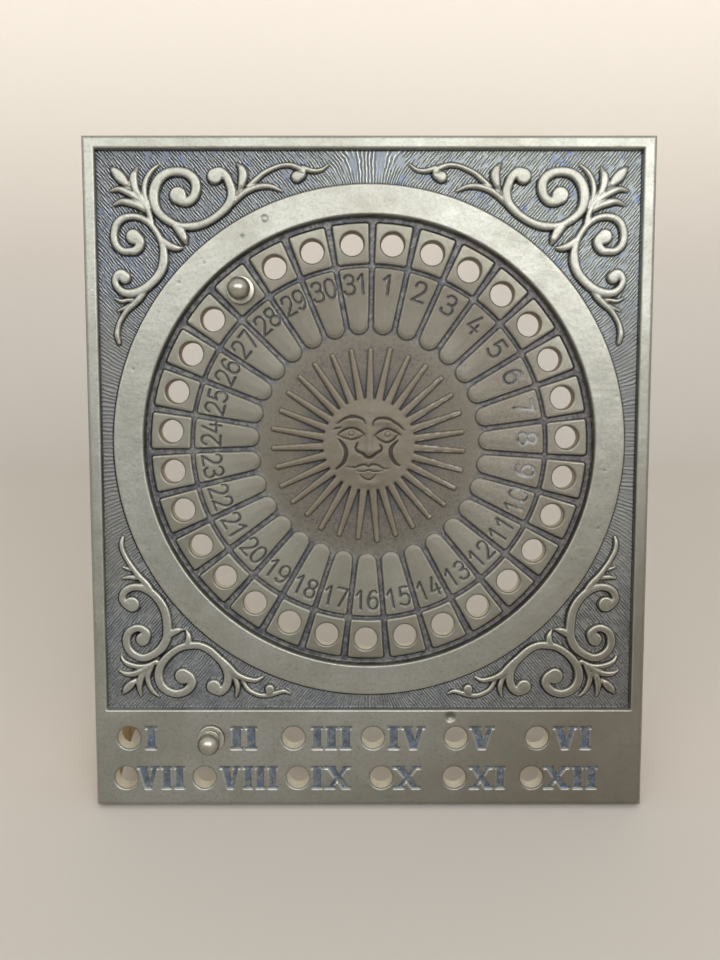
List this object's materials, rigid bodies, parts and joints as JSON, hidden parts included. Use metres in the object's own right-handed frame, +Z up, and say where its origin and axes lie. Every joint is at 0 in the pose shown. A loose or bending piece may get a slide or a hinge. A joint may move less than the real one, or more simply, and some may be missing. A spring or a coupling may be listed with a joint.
{
  "type": "perpetual desk calendar",
  "caption": "Leaning cast relief plate with a ring of day holes and rows of month holes, marker pegs that pull out of them, and arched rear legs held on by slotted screws",
  "frame": {"origin": "middle of the footprint's bounding box, on the desk surface", "axes": "+Z up, the calendar's face towards -Y and leaning back 12 degrees, +X to the reader's right along the plate's lower edge"},
  "size_m": [0.15, 0.0628, 0.177],
  "materials": {
    "plate_metal": "satin",
    "leg_metal": "satin",
    "screw_metal": "satin",
    "peg_metal": "satin"
  },
  "bodies": {
    "stand": {"calendar_plate": "plate_metal", "left_leg": "leg_metal", "right_leg": "leg_metal", "left_upper_screw": "screw_metal", "left_lower_screw": "screw_metal", "right_upper_screw": "screw_metal", "right_lower_screw": "screw_metal"},
    "date_marker": {"date_peg": "peg_metal"},
    "month_marker": {"month_peg": "peg_metal"}
  },
  "joints": [
    {"name": "date_peg_pull", "type": "slide", "parent": "stand", "child": "date_marker", "axis": [0, -0.9781, 0.2079], "range_m": [0, 0.015]},
    {"name": "month_peg_pull", "type": "slide", "parent": "stand", "child": "month_marker", "axis": [0, -0.9781, 0.2079], "range_m": [0, 0.015]}
  ]
}
